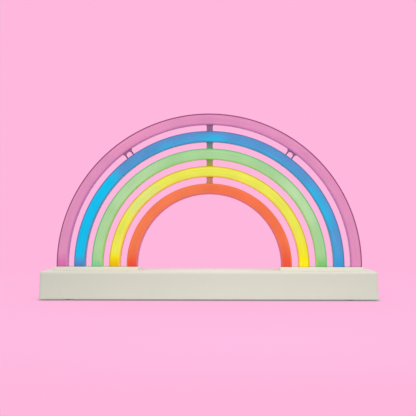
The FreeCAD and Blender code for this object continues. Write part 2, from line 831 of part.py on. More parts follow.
def battery_leads():
    """Leads from the two terminals, over the ceiling of the bay and down to the board."""
    z = tub_top + lead_wall_gap + lead_radius
    row = cell_row(1)
    front_x = board_left + front_lead_left
    front_y = board_front + front_lead_front
    rear_x = board_left + rear_lead_left
    front = lead((Vector(bay_half_length, -row, z), Vector(front_x, -row, z),
                  Vector(front_x, front_y, z), Vector(front_x, front_y, board_top)))
    rear = lead((Vector(contact_face(-1), row, z), Vector(rear_x, row, z), Vector(rear_x, row, board_top)))
    return [front, rear]


def lamp_nodes():
    """Every piece of the lamp by its name, as a list of solids."""
    places = range(len(arch_names))
    cells = (-1, 0, 1)
    eye = hanging_eye()
    nodes = {}
    for index, name in enumerate(arch_names):
        nodes[name + "_arch_front"] = [arch_front(index)]
        nodes[name + "_arch_rear"] = [arch_rear(index)]
        nodes[name + "_led_strip"] = [light_strip(index)]
        nodes[name + "_led_chips"] = light_chips(index)
    for outer, inner in zip(places[:-1], places[1:]):
        nodes[arch_names[outer] + "_" + arch_names[inner] + "_link"] = [link(outer)]
    nodes["left_hanging_eye"] = [turned(eye, -eye_angle)]
    nodes["right_hanging_eye"] = [turned(eye, eye_angle)]
    nodes["base_housing"] = [base_housing()]
    nodes["retaining_rods"] = both_ends(retaining_rod())
    nodes["bottom_cover"] = [bottom_cover()]
    nodes["cover_screws"] = [screw(x, y, base_bottom + head_recess, screw_length)
                             for x, y in cover_screw_places]
    nodes["rubber_feet"] = [rubber_foot(x, y) for x, y in foot_places]
    nodes["battery_door"] = [battery_door()]
    nodes["battery_cells"] = [battery_cell(place) for place in cells]
    nodes["battery_springs"] = [battery_spring(place) for place in cells]
    nodes["battery_contacts"] = battery_contacts()
    nodes["circuit_board"] = [circuit_board()]
    nodes["board_components"] = board_components()
    nodes["board_screws"] = [screw(x, y, board_bottom, board_screw_length) for x, y in board_screw_places]
    nodes["lead_connector"] = [lead_connector()]
    nodes["switch_body"] = [switch_body()]
    nodes["switch_slider"] = [switch_slider()]
    nodes["power_socket"] = [power_socket()]
    nodes["power_socket_pin"] = [power_socket_pin()]
    nodes["led_leads"] = [led_lead(index) for index in places]
    nodes["battery_leads"] = battery_leads()
    return nodes


os.makedirs("parts", exist_ok=True)
for node, solids in lamp_nodes().items():
    shape = solids[0] if len(solids) == 1 else Part.makeCompound(solids)
    shape.exportStep("parts/" + node + ".step")
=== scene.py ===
import math

import bmesh
import bpy
from bpy.props import FloatProperty, FloatVectorProperty, IntProperty, PointerProperty
from bpy.types import Operator, Panel, PropertyGroup
from mathutils import Color, Matrix, Vector


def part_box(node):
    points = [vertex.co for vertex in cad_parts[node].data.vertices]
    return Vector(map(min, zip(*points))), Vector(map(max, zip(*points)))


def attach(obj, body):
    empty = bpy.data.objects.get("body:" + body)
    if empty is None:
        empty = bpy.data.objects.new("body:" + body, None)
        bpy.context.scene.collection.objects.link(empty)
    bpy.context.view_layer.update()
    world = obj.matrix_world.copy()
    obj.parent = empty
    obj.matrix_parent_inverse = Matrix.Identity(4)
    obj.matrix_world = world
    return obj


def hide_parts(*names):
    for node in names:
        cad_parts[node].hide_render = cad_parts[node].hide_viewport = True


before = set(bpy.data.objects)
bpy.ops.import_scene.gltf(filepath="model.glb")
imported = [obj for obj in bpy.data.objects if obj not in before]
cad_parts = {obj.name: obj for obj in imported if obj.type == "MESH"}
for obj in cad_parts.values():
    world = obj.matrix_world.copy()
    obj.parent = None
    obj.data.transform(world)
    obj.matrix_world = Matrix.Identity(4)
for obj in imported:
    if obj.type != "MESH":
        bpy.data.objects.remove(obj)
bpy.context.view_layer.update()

bl_info = {
    "name": "Rainbow Arch Lamp",
    "version": (1, 0, 0),
    "blender": (4, 5, 0),
    "location": "3D View > Sidebar > Lamp",
    "description": "Dresses the rainbow arch lamp: lit arches, clear back bars, links, eyes, base and cells",
    "category": "Object",
}

# Sizes are in metres. The lamp stands on z = 0, its front faces -Y and its middle is x = 0.
MM = 0.001
ARCHES = ("pink", "blue", "green", "yellow", "orange")
# Brighter zones of each arch: start and end in degrees from its right foot, then the strength at its
# inner and at its outer edge
GLOW_ZONES = {"pink": ((108, 130, 1.0, 1.0),),
              "blue": ((135, 182, 1.0, 1.0), (106, 115, 0.8, -0.4), (83, 94, 1.25, -0.3), (17, 40, 1.0, 0.0),
                       (-20, 8, 0.55, 0.0)),
              "green": ((150, 172, 0.35, 0.35), (116, 150, 0.8, 0.3), (20, 52, 1.0, 0.5)),
              "yellow": ((124, 146, 1.0, 1.0),),
              "orange": ((92, 166, 0.9, 1.0),)}
ZONE_BLUR = math.radians(5)
# How bright the inner half of each arch is all along it
INNER_GLOW = {"pink": 0.0, "blue": 0.45, "green": 0.3, "yellow": 0.0, "orange": 0.0}
# Height of the deeper colour at the left and the right foot of each arch, in millimetres
FOOT_REACH = {"pink": (15, 4), "blue": (13, 16), "green": (9, 13), "yellow": (12, 38), "orange": (14, 24)}
# Band of the right foot's brighter shade above a left foot: its upper and lower end, in millimetres
BRIGHT_BAND = {"yellow": (15.5, 7)}
# Bottom of a rubber foot from its middle outwards: share of its radius, and 1 where it is grooved
FOOT_TREAD = ((0.0, 1), (0.28, 1), (0.32, 0), (0.55, 0), (0.59, 1), (0.71, 1), (0.75, 0), (0.94, 0))
# Tail of a cell from its middle outwards: share of its radius, and 1 where it is sunk
CELL_TAIL = ((0.0, 0), (0.66, 0), (0.70, 1), (0.84, 1), (0.88, 0), (1.0, 0))
# Nub end of a cell from its rim inwards, in the same way
CELL_HEAD = ((1.0, 0), (0.86, 0), (0.82, 1))
BLOCK_HEIGHT = 3.2 * MM
SHARP_ANGLE = math.radians(35)
SHOULDER_ANGLE = math.radians(70)
MERGE_DISTANCE = 0.002 * MM
CORNER_SEGMENTS = 5
RIM_SEGMENTS = 3
SHOULDER_SEGMENTS = 4
# Steps round a foot, a cell and one turn of a spring, and sides of a spring's wire
FOOT_STEPS = 40
CELL_STEPS = 48
TURN_STEPS = 24
WIRE_SIDES = 8

# Patterns of the finishes
STREAK_WIDTH = 1.1 * MM
STREAK_STRETCH = 40
ARCH_CLOUDS = 22 * MM
ARCH_GRAIN = 0.45 * MM
# Widths of the lines along an arch's outer and inner edge, which are partly painted shade on its rounded
# edges
OUTER_LINE = 1.6 * MM
INNER_LINE = 1.9 * MM
# Height of the painted shadow where an arch meets its block
PAINTED_FOOT_SHADOW = 1.4 * MM
HAZE = 3.5 * MM
CREAM_CLOUDS = 38 * MM
CREAM_GRAIN = 0.32 * MM
# Painted light on the base: it is brightest this far to the right, and turns darker over this distance from
# there
PAINTED_LIGHT_MIDDLE = 25 * MM
PAINTED_LIGHT_REACH = 130 * MM
# Copper on a strip: both ends of a pad as shares of the chips' pitch, its half width, and both edges of a
# track, all from a chip's middle
PAD_NEAR = 0.065
PAD_FAR = 0.105
PAD_HALF_WIDTH = 1.25 * MM
TRACK_INNER = 1.675 * MM
TRACK_OUTER = 1.975 * MM
LENS_HALF_WIDTH = 1.025 * MM
BAND_WIDTH = 5.85 * MM
SLEEVE_FOLD = 1.0 * MM
BOARD_COLUMN = 5.2 * MM
BOARD_ROW = 2.1 * MM
BOARD_TRACK = 0.16 * MM
# Clear pieces: share of an arch's colour in them, their brightness and how solid they look
BAR_TINT = 0.25
BAR_FAR_TINT = 0.5
BAR_SHADE = 0.95
BAR_SOLID = 0.9
# Links: their share of the outer arch's colour is painted light from that arch
LINK_ARCH_LIGHT = 0.25
LINK_SOLID = 0.85
# Eyes: their darker brightness is painted shade, and their share of the pink arch's colour is painted pink
# light
EYE_PINK_LIGHT = 0.75
EYE_PAINTED_SHADE = 0.68
EYE_SOLID = 0.9
FOOT_SOLID = 0.45

# Stage: where the key light shines and how wide it is, and the near light's place, target and width
KEY_DIRECTION = Vector((-0.20, 0.25, -0.95))
KEY_SPREAD = math.radians(40)
SIDE_PLACE = Vector((0.05, -0.42, 0.16))
SIDE_TARGET = Vector((0.03, 0.0, 0.06))
SIDE_SIZE = 0.25
# Floor: its half width, how much of the lamp's own shadow it shows, and where that starts to fade and is gone
FLOOR_REACH = 12.0
FLOOR_SHADE = 0.3
SHADE_NEAR = 0.2
SHADE_FAR = 0.5
# Painted shadow in the gap under the base: its grey, its lighter grey painted beside the feet, how far it
# runs past the base's ends, and how far behind the front edge it starts and is full
GAP_SHADOW_GREY = 0.33
GAP_FOOT_PAINTED_LIGHT = 0.65
GAP_MARGIN = 4 * MM
GAP_START = 3 * MM
GAP_FULL = 7 * MM
SENSOR_WIDTH = 36.0

# Places that follow from the frame
housing_low, housing_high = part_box("base_housing")
outer_front_low, outer_front_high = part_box("pink_arch_front")
outer_rear_low, outer_rear_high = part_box("pink_arch_rear")
link_low, link_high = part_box("pink_blue_link")
cells_low, cells_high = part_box("battery_cells")
springs_low, springs_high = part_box("battery_springs")
feet_low, feet_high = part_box("rubber_feet")
arch_centre = Vector((0, 0, outer_front_high.z - outer_front_high.x))
leg_bottom = outer_front_low.z
tube_front = outer_front_low.y
seam_y = outer_front_high.y
lip_front = outer_rear_low.y
tube_back = outer_rear_high.y
block_top = housing_high.z
shelf_top = block_top - BLOCK_HEIGHT
outer_radii = {name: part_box(name + "_arch_front")[1].x for name in ARCHES}
cell_radius = (cells_high.z - cells_low.z) / 2
cell_axis_z = (cells_low.z + cells_high.z) / 2
outer_cell_y = cells_high.y - cell_radius
# y of each cell, and the side of its nub
cell_rows = ((-outer_cell_y, 1), (0.0, -1), (outer_cell_y, 1))


def length(name, description, millimetres):
    """A size that a user may change, written in millimetres."""
    return FloatProperty(name=name, description=description, default=millimetres * MM, min=0.0, precision=4,
                         subtype="DISTANCE", unit="LENGTH")


def degrees(name, description, value):
    """An angle that a user may change, written in degrees."""
    return FloatProperty(name=name, description=description, default=math.radians(value), subtype="ANGLE",
                         unit="ROTATION")


def amount(name, description, value):
    """A strength or share that a user may change."""
    return FloatProperty(name=name, description=description, default=value, min=0.0)


def count(name, description, value, least):
    """A whole number that a user may change."""
    return IntProperty(name=name, description=description, default=value, min=least)


def colour(name, description, red, green, blue):
    """A colour that a user may change, written as it shows on a screen, from 0 to 255."""
    return FloatVectorProperty(name=name, description=description, subtype="COLOR_GAMMA", size=3, min=0.0,
                               max=1.0, default=(red / 255, green / 255, blue / 255))


def arch_colour(arch, part, red, green, blue):
    """The colour of a part of an arch, in the same way."""
    description = part.capitalize() + " of the " + arch + " arch"
    return colour(arch.title() + " " + part, description, red, green, blue)


class LampSizes(PropertyGroup):
    """Sizes of the pieces that are modelled here."""
    tube_width: length("Tube width", "Width of an arch, seen from the front", 9.8)
    tube_crown: length("Tube crown", "How far the front of an arch bulges", 0.3)
    front_edge: length("Front edge", "Rounding of the front edges of an arch", 1.5)
    rear_edge: length("Rear edge", "Rounding of the back edges of an arch", 1.0)
    side_wall: length("Side wall", "Side wall of a diffuser", 1.2)
    front_wall: length("Front wall", "Front wall of a diffuser", 1.4)
    lip_gap: length("Lip gap", "Gap between a back bar's lip and its diffuser", 0.1)
    joint_gap: length("Joint gap", "Gap between a link or an eye and the arches", 0.05)
    link_width: length("Link width", "Width of a link between two arches", 5.5)
    link_flare: length("Link flare", "How far a link widens where it meets an arch", 0.8)
    link_edge: length("Link edge", "Rounding along the edges of a link", 0.25)
    eye_half_width: length("Eye half width", "Half the width of the opening in a hanging eye", 2.6)
    eye_height: length("Eye height", "Height of the opening in a hanging eye", 4.65)
    eye_sill: length("Eye sill", "Wall between an eye's opening and the arch below", 0.25)
    eye_upper_round: length("Eye upper corners", "Rounding of the upper corners of an eye's opening", 2.2)
    eye_lower_round: length("Eye lower corners", "Rounding of the lower corners of an eye's opening", 0.5)
    eye_leg: length("Eye leg", "Wall at each side of an eye's opening", 1.2)
    eye_flare: length("Eye flare", "How far an eye widens towards the outer arch", 1.6)
    eye_edge: length("Eye edge", "Rounding along the edges of a hanging eye", 0.1)
    eye_angle: degrees("Eye angle", "From the top of the arches to a hanging eye", 35.9)
    chip_pitch: length("Chip pitch", "Distance between two light chips along a strip", 25.0)
    foot_radius: length("Foot radius", "Radius of a rubber foot", 5.0)
    foot_groove: length("Foot groove", "Depth of the ring grooves in a rubber foot", 0.35)
    foot_slope: length("Foot slope", "Height of the slope round the bottom of a rubber foot", 0.4)
    cell_groove: length("Cell groove", "Depth of the ring at both ends of a cell", 0.3)
    cell_shoulder: length("Cell shoulder", "Rounding of a cell's shoulders", 0.6)
    nub_radius: length("Nub radius", "Radius of a cell's raised contact", 2.75)
    nub_height: length("Nub height", "Height of a cell's raised contact", 1.0)
    spring_length: length("Spring length", "Length of a battery spring", 6.5)
    spring_wire: length("Spring wire", "Thickness of the wire of a battery spring", 0.7)
    spring_narrow: length("Spring end", "Radius of a spring where it meets its cell", 3.0)
    spring_turns: count("Spring turns", "Turns of a battery spring", 5, 2)
    arch_steps: count("Arch steps", "Steps round the half circle of an arch", 120, 24)


class LampColours(PropertyGroup):
    """Colours of the finishes, as they show on a screen."""
    pink_face: arch_colour("pink", "front", 226, 145, 190)
    pink_glow: arch_colour("pink", "brighter zones", 233, 149, 193)
    pink_outer: arch_colour("pink", "outer edge", 140, 62, 108)
    pink_inner: arch_colour("pink", "inner edge", 230, 138, 194)
    pink_left_foot: arch_colour("pink", "left foot", 216, 108, 174)
    pink_right_foot: arch_colour("pink", "right foot", 222, 148, 194)
    blue_face: arch_colour("blue", "front", 88, 148, 207)
    blue_glow: arch_colour("blue", "brighter zones", 0, 194, 242)
    blue_outer: arch_colour("blue", "outer edge", 82, 128, 182)
    blue_inner: arch_colour("blue", "inner edge", 82, 158, 212)
    blue_left_foot: arch_colour("blue", "left foot", 84, 130, 196)
    blue_right_foot: arch_colour("blue", "right foot", 58, 155, 217)
    green_face: arch_colour("green", "front", 167, 213, 152)
    green_glow: arch_colour("green", "brighter zones", 188, 223, 170)
    green_outer: arch_colour("green", "outer edge", 112, 196, 128)
    green_inner: arch_colour("green", "inner edge", 164, 222, 124)
    green_left_foot: arch_colour("green", "left foot", 128, 203, 150)
    green_right_foot: arch_colour("green", "right foot", 122, 198, 110)
    yellow_face: arch_colour("yellow", "front", 236, 234, 86)
    yellow_glow: arch_colour("yellow", "brighter zones", 226, 232, 122)
    yellow_outer: arch_colour("yellow", "outer edge", 220, 184, 30)
    yellow_inner: arch_colour("yellow", "inner edge", 255, 206, 84)
    yellow_left_foot: arch_colour("yellow", "left foot", 236, 188, 0)
    yellow_right_foot: arch_colour("yellow", "right foot", 252, 236, 0)
    orange_face: arch_colour("orange", "front", 244, 116, 74)
    orange_glow: arch_colour("orange", "brighter zones", 246, 125, 80)
    orange_outer: arch_colour("orange", "outer edge", 238, 124, 78)
    orange_inner: arch_colour("orange", "inner edge", 226, 112, 136)
    orange_left_foot: arch_colour("orange", "left foot", 239, 76, 50)
    orange_right_foot: arch_colour("orange", "right foot", 234, 86, 56)
    smoky: colour("Smoky clear", "Clear plastic of the back bars and eyes", 178, 160, 198)
    # Link colours: painted coloured light and shade from the two arches beside each link, on smoky clear
    # plastic
    pink_blue: colour("Pink and blue link", "Link between pink and blue arches", 164, 132, 168)
    blue_green: colour("Blue and green link", "Link between blue and green arches", 142, 172, 148)
    green_yellow: colour("Green and yellow link", "Link between green and yellow arches", 184, 186, 72)
    yellow_orange: colour("Yellow and orange link", "Link between yellow and orange arches", 214, 164, 128)
    cream: colour("Cream", "Moulded plastic of the base", 221, 219, 206)
    strip_white: colour("Strip white", "Coating of the light strips", 237, 237, 232)
    copper: colour("Copper", "Pads and tracks of the light strips", 204, 133, 87)
    chip_frame: colour("Chip frame", "Frame of a light chip", 237, 237, 230)
    chip_lens: colour("Chip lens", "Lens of a light chip", 247, 219, 92)
    cell_sleeve: colour("Cell sleeve", "Sleeve of a cell", 92, 117, 140)
    cell_band: colour("Cell band", "Band at the nub end of a cell", 209, 212, 212)
    cell_cap: colour("Cell cap", "Bare metal at both ends of a cell", 204, 204, 201)
    board: colour("Board", "Coating of the circuit board", 26, 87, 46)
    board_track: colour("Board track", "Tracks of the circuit board", 43, 117, 64)
    steel: colour("Steel", "Screws and retaining rods", 168, 168, 171)
    nickel: colour("Nickel", "Battery contacts and the socket's pin", 204, 199, 184)
    spring_wire: colour("Spring wire", "Battery springs", 199, 196, 186)
    rubber: colour("Rubber", "Feet of the base", 209, 209, 209)
    black: colour("Black", "Parts on the board, switch body and socket", 18, 18, 19)
    knob: colour("Knob", "Slider of the switch", 26, 26, 27)
    pale_jacket: colour("Pale jacket", "Leads of the light strips", 219, 217, 209)
    black_jacket: colour("Black jacket", "Front battery lead", 23, 23, 23)
    red_jacket: colour("Red jacket", "Rear battery lead", 179, 26, 23)
    backdrop: colour("Backdrop", "Floor and background as the camera sees them", 255, 183, 221)


class LampStage(PropertyGroup):
    """Camera and light of the stage."""
    camera_distance: length("Camera distance", "From the camera to the front of the base", 870.0)
    camera_height: length("Camera height", "Height of the camera above the floor", 82.13)
    camera_side: length("Camera side", "How far the camera stands to the right", 18.0)
    camera_shift: FloatProperty(name="Lens shift", description="Sideways shift that frames the lamp",
                                default=-0.0513)
    camera_roll: degrees("Camera roll", "Lean of the camera to its left", -0.11)
    camera_lens: FloatProperty(name="Lens", description="Focal length of the camera", default=85.55,
                               subtype="DISTANCE_CAMERA", unit="CAMERA")
    arch_light: amount("Arch light", "Light that the arches give off", 0.22)
    world_light: amount("Room light", "Even light from all sides", 0.95)
    key_light: amount("Key light", "Strength of the key light", 0.5)
    side_light: amount("Side light", "Power of the near light in front", 0.25)
    floor_bounce: amount("Floor bounce", "Grey of the floor as it lights the lamp", 0.6)


def paint(shown):
    """A colour as it shows on a screen, as the four linear numbers of a socket."""
    return (*Color(shown).from_srgb_to_scene_linear(), 1.0)


def grey(value):
    """A linear grey as the four numbers of a socket."""
    return (value, value, value, 1.0)


class Wire:
    """One value in a node tree. Arithmetic on it adds Math nodes."""

    def __init__(self, graph, socket):
        self.graph = graph
        self.socket = socket

    def output(self, name):
        """Another output of the node that this value comes from."""
        return Wire(self.graph, self.socket.node.outputs[name])

    def fade(self, start, end):
        """0 at start, 1 at end and smooth between them."""
        return self.graph.node("ShaderNodeMapRange", {"interpolation_type": "SMOOTHSTEP"},
                               {"Value": self, "From Min": start, "From Max": end})

    def above(self, limit, blur):
        """1 above a limit and 0 below it, with a soft step between limit - blur and limit + blur."""
        return self.fade(limit - blur, limit + blur)

    def below(self, limit, blur):
        """1 below a limit and 0 above it, with the same soft step."""
        return self.fade(limit + blur, limit - blur)

    def between(self, low, high, blur):
        """1 between two limits, with a soft step at both."""
        return self.above(low, blur) * self.below(high, blur)

    def __abs__(self):
        return self.graph.maths("ABSOLUTE", self)

    def __add__(self, other):
        return self.graph.maths("ADD", self, other)

    def __radd__(self, other):
        return self.graph.maths("ADD", other, self)

    def __sub__(self, other):
        return self.graph.maths("SUBTRACT", self, other)

    def __rsub__(self, other):
        return self.graph.maths("SUBTRACT", other, self)

    def __mul__(self, other):
        return self.graph.maths("MULTIPLY", self, other)

    def __rmul__(self, other):
        return self.graph.maths("MULTIPLY", other, self)

    def __truediv__(self, other):
        return self.graph.maths("DIVIDE", self, other)

    def __rtruediv__(self, other):
        return self.graph.maths("DIVIDE", other, self)

    def __pow__(self, other):
        return self.graph.maths("POWER", self, other)


def distance(across, up):
    """How far two steps at right angles lead, as a value."""
    return (across * across + up * up) ** 0.5


class Graph:
    """A node tree, with one way to add a node to it."""

    def __init__(self, tree):
        self.tree = tree

    def feed(self, socket, value):
        """Links a value to a socket, or sets a plain one on it."""
        if isinstance(value, Wire):
            self.tree.links.new(value.socket, socket)
        else:
            socket.default_value = value

    def node(self, kind, settings=None, sockets=None, output=0):
        """Adds a node: its settings are set first, then the values or links of its sockets."""
        added = self.tree.nodes.new(kind)
        for name, value in (settings or {}).items():
            setattr(added, name, value)
        for name, value in (sockets or {}).items():
            self.feed(added.inputs[name], value)
        return Wire(self, added.outputs[output])

    def maths(self, operation, *values):
        """A Math node on values and numbers."""
        return self.node("ShaderNodeMath", {"operation": operation}, dict(enumerate(values)))

    def mix(self, first, second, share):
        """Two colours mixed: 0 gives the first one, 1 the second."""
        return self.node("ShaderNodeMix", {"data_type": "RGBA"}, {0: share, 6: first, 7: second}, 2)

    def scaled(self, shade, factor):
        """A colour made darker or lighter by a factor."""
        shade = shade if isinstance(shade, Wire) else shade[:3]
        return self.node("ShaderNodeVectorMath", {"operation": "SCALE"}, {"Vector": shade, "Scale": factor})

    def spot(self):
        """The surface's own place, as a vector in metres."""
        return self.node("ShaderNodeTexCoord", output="Object")

    def split(self, vector):
        """The three values of a vector."""
        parts = self.node("ShaderNodeSeparateXYZ", sockets={"Vector": vector})
        return parts, parts.output("Y"), parts.output("Z")

    def joined(self, x, y, z):
        """Three values as a vector."""
        return self.node("ShaderNodeCombineXYZ", sockets={"X": x, "Y": y, "Z": z})

    def noise(self, vector, size, detail=2.0):
        """Soft noise from 0 to 1 with spots of a size in the vector's unit."""
        return self.node("ShaderNodeTexNoise",
                         sockets={"Vector": vector, "Scale": 1 / size, "Detail": detail})


class Finish(Graph):
    """Material of one finish, with its shader at hand."""

    def __init__(self, name):
        self.material = bpy.data.materials.new(name)
        self.material.use_nodes = True
        super().__init__(self.material.node_tree)
        self.shader = self.tree.nodes["Principled BSDF"]

    def set(self, **values):
        """Sets or links sockets of the shader, named in small letters with underscores."""
        for name, value in values.items():
            self.feed(self.shader.inputs[name.replace("_", " ").title().replace("Ior", "IOR")], value)

    def grain(self, height, strength, depth):
        """Fine relief on the surface."""
        self.set(normal=self.node("ShaderNodeBump", sockets={"Height": height, "Strength": strength,
                                                             "Distance": depth}))


# Finishes

def above_centre(finish, z):
    """Height above the arches' centre. All of a leg counts as level with it."""
    return finish.maths("MAXIMUM", z - arch_centre.z, 0.0)


def arch_glow(finish, name, angle, across, clouds):
    """Share of an arch's brighter shade: soft along its inner half, and full in its glow zones."""
    glow = across.fade(0.62, 0.12) * (0.1 + 1.1 * clouds) * INNER_GLOW[name]
    for start, end, inner_glow, outer_glow in GLOW_ZONES[name]:
        within = angle.between(math.radians(start), math.radians(end), ZONE_BLUR)
        zone = within * (inner_glow + (outer_glow - inner_glow) * across)
        glow = finish.maths("MAXIMUM", glow, zone)
    return glow


def with_feet(finish, name, shade, shades, x, z):
    """A shade that turns into those of the arch's two feet towards its block."""
    to_right = x.above(0.0, 1 * MM)
    if name in BRIGHT_BAND:
        upper, lower = BRIGHT_BAND[name]
        band = z.fade(block_top + upper * MM, block_top + lower * MM) * (1 - to_right)
        shade = finish.mix(shade, shades["right_foot"], band)
    left_reach, right_reach = FOOT_REACH[name]
    reach = left_reach * MM + (right_reach - left_reach) * MM * to_right
    foot_shade = finish.mix(shades["left_foot"], shades["right_foot"], to_right)
    return finish.mix(shade, foot_shade, z.fade(block_top + reach, block_top))


def with_edges(finish, shade, shades, across, y):
    """A shade with the lines along an arch's two edges: partly the deeper colour of thicker plastic, partly
    painted shade on the rounded edges. The outer line grows weaker towards the back.
    """
    width = bpy.context.scene.lamp_sizes.tube_width
    outer_line = OUTER_LINE / width
    inner_line = INNER_LINE / width
    front = 1 - 0.6 * y.fade(tube_front + 1 * MM, seam_y - 1 * MM)
    shade = finish.mix(shade, shades["outer"], across.fade(1 - outer_line, 1 - 0.5 * outer_line) * front)
    return finish.mix(shade, shades["inner"], across.fade(inner_line, 0.1 * inner_line))


def diffuser_finish(name):
    """Satin tinted plastic of a lit arch: glow zones, deeper feet, edges deeper in part by painted shade,
    streaks along the arch, and a painted shadow at its block.
    """
    colours = bpy.context.scene.lamp_colours
    sizes = bpy.context.scene.lamp_sizes
    shades = {zone: paint(getattr(colours, name + "_" + zone))
              for zone in ("face", "glow", "outer", "inner", "left_foot", "right_foot")}
    finish = Finish(name + "_diffuser")
    x, y, z = finish.split(finish.spot())
    above = above_centre(finish, z)
    radius = distance(x, above)
    angle = finish.maths("ARCTAN2", above, x)
    inner_radius = outer_radii[name] - sizes.tube_width
    across = (radius - inner_radius) / sizes.tube_width
    along = angle * (inner_radius + sizes.tube_width / 2)

    drawn_out = finish.joined(along / STREAK_STRETCH, radius, 0.0)
    streaks = finish.noise(drawn_out, STREAK_WIDTH, 3.0)
    clouds = finish.noise(finish.joined(along, radius, y), ARCH_CLOUDS)
    chips = finish.maths("COSINE", along * (2 * math.pi / sizes.chip_pitch))

    shade = finish.mix(shades["face"], shades["glow"], arch_glow(finish, name, angle, across, clouds))
    shade = with_feet(finish, name, shade, shades, x, z)
    shade = with_edges(finish, shade, shades, across, y)
    tone = 0.655 + 0.24 * streaks + 0.10 * clouds + 0.012 * chips
    # Painted shadow: darker where the arch meets its block
    tone = tone * (0.78 + 0.22 * z.fade(block_top, block_top + PAINTED_FOOT_SHADOW))
    shade = finish.scaled(shade, tone)
    finish.set(base_color=shade, emission_color=shade, roughness=0.40 + 0.14 * clouds, ior=1.46,
               emission_strength=bpy.context.scene.lamp_stage.arch_light, specular_ior_level=0.15,
               subsurface_weight=0.12, subsurface_radius=(1.6, 1.6, 1.6), subsurface_scale=MM)
    finish.grain(finish.noise(finish.spot(), ARCH_GRAIN) + 0.6 * streaks, strength=0.10, depth=0.06 * MM)
    return finish.material


def clear_finish(name, shade, far_shade, start, end, solid):
    """Smoky clear plastic whose tint turns from one shade to another between two radii of the arches."""
    finish = Finish(name)
    x, y, z = finish.split(finish.spot())
    radius = distance(x, above_centre(finish, z))
    haze = finish.noise(finish.spot(), HAZE, 3.0)
    tint = finish.mix(paint(shade), paint(far_shade), radius.fade(start, end))
    finish.set(base_color=finish.scaled(tint, 0.9 + 0.2 * haze), roughness=0.16 + 0.16 * haze, ior=1.49,
               alpha=solid * (0.9 + 0.2 * haze), coat_weight=0.25)
    finish.grain(haze, strength=0.06, depth=0.08 * MM)
    return finish.material


def cream_finish():
    """Matt cream plastic with a fine moulded grain, and painted light: brighter on its upper faces and
    towards the bottom, darker towards both ends.
    """
    finish = Finish("cream_plastic")
    spot = finish.spot()
    clouds = finish.noise(spot, CREAM_CLOUDS)
    grain = finish.noise(spot, CREAM_GRAIN)
    x, y, z = finish.split(spot)
    # Painted light: blocks and shelf top lighter as if lit from above, the lower front lighter as if lit from
    # the floor
    raised = z.fade(shelf_top, shelf_top + 1.5 * MM)
    upper = z.fade(shelf_top - 0.4 * MM, shelf_top - 0.05 * MM)
    low = z.fade(shelf_top, housing_low.z)
    # Painted light that falls off towards both ends of the base
    from_painted_light_middle = (x - PAINTED_LIGHT_MIDDLE) / PAINTED_LIGHT_REACH
    tone = (0.945 + 0.035 * clouds + 0.02 * grain + 0.04 * raised + 0.12 * upper + 0.055 * low
            - 0.06 * from_painted_light_middle * from_painted_light_middle)
    finish.set(base_color=finish.scaled(paint(bpy.context.scene.lamp_colours.cream), tone),
               roughness=0.56 + 0.12 * grain, ior=1.5, specular_ior_level=0.06)
    finish.grain(grain, strength=0.18, depth=0.05 * MM)
    return finish.material


def plain_finish(name, shade, roughness, spots, variation=0.08, metallic=0.0, relief=0.1, alpha=1.0):
    """Finish with a soft change of tone and gloss, and a fine relief."""
    finish = Finish(name)
    spot = finish.spot()
    clouds = finish.noise(spot, spots, 3.0)
    grain = finish.noise(spot, spots / 8)
    finish.set(base_color=finish.scaled(paint(shade), 1 - variation + 2 * variation * clouds),
               roughness=roughness * (0.8 + 0.4 * grain), metallic=metallic, alpha=alpha)
    finish.grain(grain, strength=relief, depth=spots / 30)
    return finish.material


def metal_finish(name, shade, roughness, spots):
    """Bare or plated metal."""
    return plain_finish(name, shade, roughness, spots, variation=0.06, metallic=1.0)


def from_chip(finish, name, x, z):
    """Place between two light chips of an arch, from -0.5 to 0.5 with a chip at 0, and their distance."""
    strip_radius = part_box(name + "_led_strip")[1].x
    chips = round(math.pi * strip_radius / bpy.context.scene.lamp_sizes.chip_pitch)
    angle = finish.maths("ARCTAN2", z - arch_centre.z, x)
    turn = finish.maths("FRACT", angle * (chips / math.pi)) - 0.5
    return turn, math.pi * strip_radius / chips


def strip_finish(name):
    """White light strip with a copper pad at both sides of each chip and a thin track along each edge."""
    colours = bpy.context.scene.lamp_colours
    finish = Finish(name + "_strip")
    strip_low, strip_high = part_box(name + "_led_strip")
    x, y, z = finish.split(finish.spot())
    turn = from_chip(finish, name, x, z)[0]
    from_middle = abs(y - (strip_low.y + strip_high.y) / 2)
    beside_chip = abs(turn).between(PAD_NEAR, PAD_FAR, 0.005)
    pads = beside_chip * from_middle.below(PAD_HALF_WIDTH, 0.05 * MM)
    tracks = from_middle.between(TRACK_INNER, TRACK_OUTER, 0.025 * MM)
    copper = finish.maths("MAXIMUM", pads, 0.35 * tracks)
    dust = finish.noise(finish.spot(), 2.0 * MM)
    white = finish.scaled(paint(colours.strip_white), 0.95 + 0.06 * dust)
    finish.set(base_color=finish.mix(white, paint(colours.copper), copper),
               roughness=0.42 - 0.12 * copper, metallic=0.8 * copper)
    finish.grain(copper + 0.2 * dust, strength=0.2, depth=0.05 * MM)
    return finish.material


def chip_finish(name):
    """Light chip: a white frame round a yellow lens, placed by its angle on the strip."""
    colours = bpy.context.scene.lamp_colours
    finish = Finish(name + "_chip")
    chip_low, chip_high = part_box(name + "_led_chips")
    x, y, z = finish.split(finish.spot())
    turn, pitch = from_chip(finish, name, x, z)
    across = abs(turn * pitch)
    sideways = abs(y - (chip_low.y + chip_high.y) / 2)
    lens = across.below(LENS_HALF_WIDTH, 0.075 * MM) * sideways.below(LENS_HALF_WIDTH, 0.075 * MM)
    speck = finish.noise(finish.spot(), 0.4 * MM)
    shade = finish.mix(paint(colours.chip_frame), paint(colours.chip_lens), lens)
    finish.set(base_color=finish.scaled(shade, 0.94 + 0.1 * speck), roughness=0.5 - 0.28 * lens)
    finish.grain(speck, strength=0.1, depth=0.04 * MM)
    return finish.material


